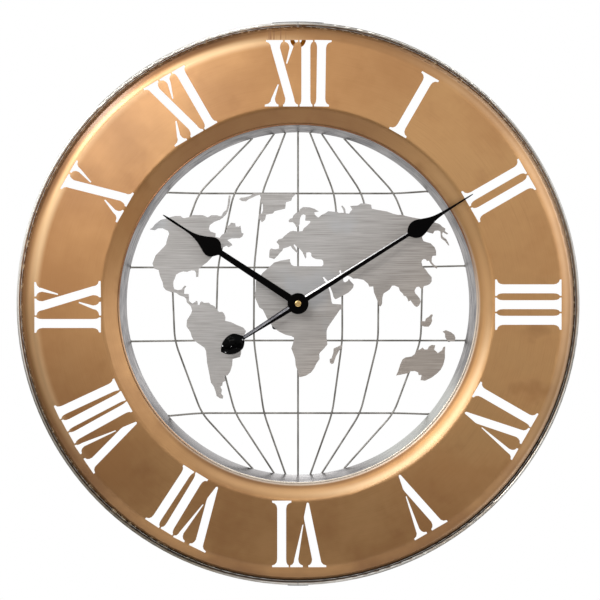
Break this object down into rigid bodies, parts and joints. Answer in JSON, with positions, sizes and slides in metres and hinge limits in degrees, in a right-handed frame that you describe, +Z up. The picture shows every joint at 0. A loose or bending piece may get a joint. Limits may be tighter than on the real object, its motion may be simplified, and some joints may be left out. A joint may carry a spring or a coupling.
{
  "type": "world map wall clock",
  "caption": "Large round wall clock with a copper ring of cut out Roman numerals, a wire grid with a metal world map, black hands and a quartz movement.",
  "frame": {"origin": "centre of the hanger hole on the wall plane, behind 12 o'clock; the dial axis lies 288 mm below", "axes": "+Z up, +X to the viewer's right, the dial faces -Y and +Y points into the wall"},
  "size_m": [0.5998, 0.0486, 0.6028],
  "materials": {
    "copper_sheet": "brushed along the ring, blotchy brown patina, bright worn edges",
    "strip_steel": "plain rolled steel strip, slightly darkened, with a bright edge",
    "grey_steel": "brushed around the hoop, streaky",
    "steel_wire": "drawn wire, dull grey",
    "map_steel": "brushed sideways, satin",
    "hanger_brass": "satin",
    "black_hands": "satin black",
    "black_gloss": "gloss black",
    "brass": "polished",
    "shaft_steel": "turned",
    "case_plastic": "fine moulded texture",
    "gear_plastic": "moulded, natural white",
    "bobbin_plastic": "moulded",
    "magnet": "sintered",
    "core_iron": "rolled",
    "coil_wire": "enamelled copper, wound fine",
    "board": "solder mask",
    "chip_resin": "resin drop",
    "can_metal": "plated",
    "cell_jacket": "plain jacket",
    "soft_rubber": "matte"
  },
  "bodies": {
    "clock_frame": {"dial_ring": "copper_sheet", "outer_hoop_right": "strip_steel", "outer_hoop_left": "strip_steel", "top_joint_strap": "strip_steel", "bottom_joint_strap": "strip_steel", "inner_hoop": "grey_steel", "meridian_wire_1": "steel_wire", "meridian_wire_2": "steel_wire", "meridian_wire_3": "steel_wire", "meridian_wire_4": "steel_wire", "meridian_wire_5": "steel_wire", "meridian_wire_6": "steel_wire", "meridian_wire_middle": "steel_wire", "parallel_wire_1": "steel_wire", "parallel_wire_2": "steel_wire", "parallel_wire_3": "steel_wire", "parallel_wire_4": "steel_wire", "weld_beads": "steel_wire", "americas_plate": "map_steel", "greenland_plate": "map_steel", "eurasia_africa_plate": "map_steel", "madagascar_plate": "map_steel", "borneo_plate": "map_steel", "new_guinea_plate": "map_steel", "australia_plate": "map_steel", "hanger_bracket": "hanger_brass", "hanger_rivets": "hanger_brass", "threaded_bush": "brass", "bush_washer": "brass", "bush_nut": "brass", "movement_case": "case_plastic", "movement_cover": "case_plastic", "middle_plate": "gear_plastic", "coil_bobbin": "bobbin_plastic", "stator": "core_iron", "coil_core": "core_iron", "coil_winding": "coil_wire", "circuit_board": "board", "driver_chip": "chip_resin", "crystal_can": "can_metal", "cell_contacts": "can_metal", "battery_cell": "cell_jacket", "rubber_washer": "soft_rubber"},
    "minute_hand_set": {"minute_shaft": "shaft_steel", "clutch_washer": "shaft_steel", "minute_collet": "brass", "minute_hand": "black_hands", "counterweight": "black_gloss", "hand_nut": "brass"},
    "hour_hand_set": {"hour_wheel": "gear_plastic", "hour_collet": "brass", "hour_hand": "black_hands"},
    "motion_wheel_set": {"motion_wheel": "gear_plastic"},
    "setting_knob_set": {"setting_knob": "case_plastic"},
    "centre_wheel_set": {"centre_wheel": "gear_plastic"},
    "third_wheel_set": {"third_wheel": "gear_plastic"},
    "second_wheel_set": {"second_wheel": "gear_plastic"},
    "intermediate_wheel_set": {"intermediate_wheel": "gear_plastic"},
    "rotor_set": {"rotor_pinion": "gear_plastic", "rotor_magnet": "magnet"}
  },
  "joints": [
    {"name": "minute_hand_turn", "type": "hinge", "parent": "clock_frame", "child": "minute_hand_set", "pos_m": [0, -0.012, -0.288], "axis": [0, 1, 0], "continuous": true},
    {"name": "hour_hand_turn", "type": "hinge", "parent": "clock_frame", "child": "hour_hand_set", "pos_m": [0, -0.012, -0.288], "axis": [0, 1, 0], "continuous": true},
    {"name": "motion_wheel_turn", "type": "hinge", "parent": "clock_frame", "child": "motion_wheel_set", "pos_m": [0.01076, -0.012, -0.28706], "axis": [0, 1, 0], "continuous": true},
    {"name": "setting_knob_turn", "type": "hinge", "parent": "clock_frame", "child": "setting_knob_set", "pos_m": [0.02156, -0.012, -0.28706], "axis": [0, 1, 0], "continuous": true},
    {"name": "second_wheel_turn", "type": "hinge", "parent": "clock_frame", "child": "second_wheel_set", "pos_m": [-0.00489, -0.012, -0.27327], "axis": [0, 1, 0], "continuous": true},
    {"name": "third_wheel_turn", "type": "hinge", "parent": "clock_frame", "child": "third_wheel_set", "pos_m": [-0.00636, -0.012, -0.28164], "axis": [0, 1, 0], "continuous": true},
    {"name": "centre_wheel_turn", "type": "hinge", "parent": "clock_frame", "child": "centre_wheel_set", "pos_m": [0, -0.012, -0.288], "axis": [0, 1, 0], "continuous": true},
    {"name": "intermediate_wheel_turn", "type": "hinge", "parent": "clock_frame", "child": "intermediate_wheel_set", "pos_m": [0.00408, -0.012, -0.27405], "axis": [0, 1, 0], "continuous": true},
    {"name": "rotor_turn", "type": "hinge", "parent": "clock_frame", "child": "rotor_set", "pos_m": [0.01084, -0.012, -0.27586], "axis": [0, 1, 0], "continuous": true}
  ],
  "couplings": [
    {"joint": "hour_hand_turn", "follows": "minute_hand_turn", "ratio": 0.083333},
    {"joint": "motion_wheel_turn", "follows": "minute_hand_turn", "ratio": -0.33333},
    {"joint": "setting_knob_turn", "follows": "minute_hand_turn", "ratio": 1},
    {"joint": "third_wheel_turn", "follows": "second_wheel_turn", "ratio": -0.13333},
    {"joint": "centre_wheel_turn", "follows": "second_wheel_turn", "ratio": 0.016667},
    {"joint": "intermediate_wheel_turn", "follows": "second_wheel_turn", "ratio": -5},
    {"joint": "rotor_turn", "follows": "second_wheel_turn", "ratio": 30}
  ]
}
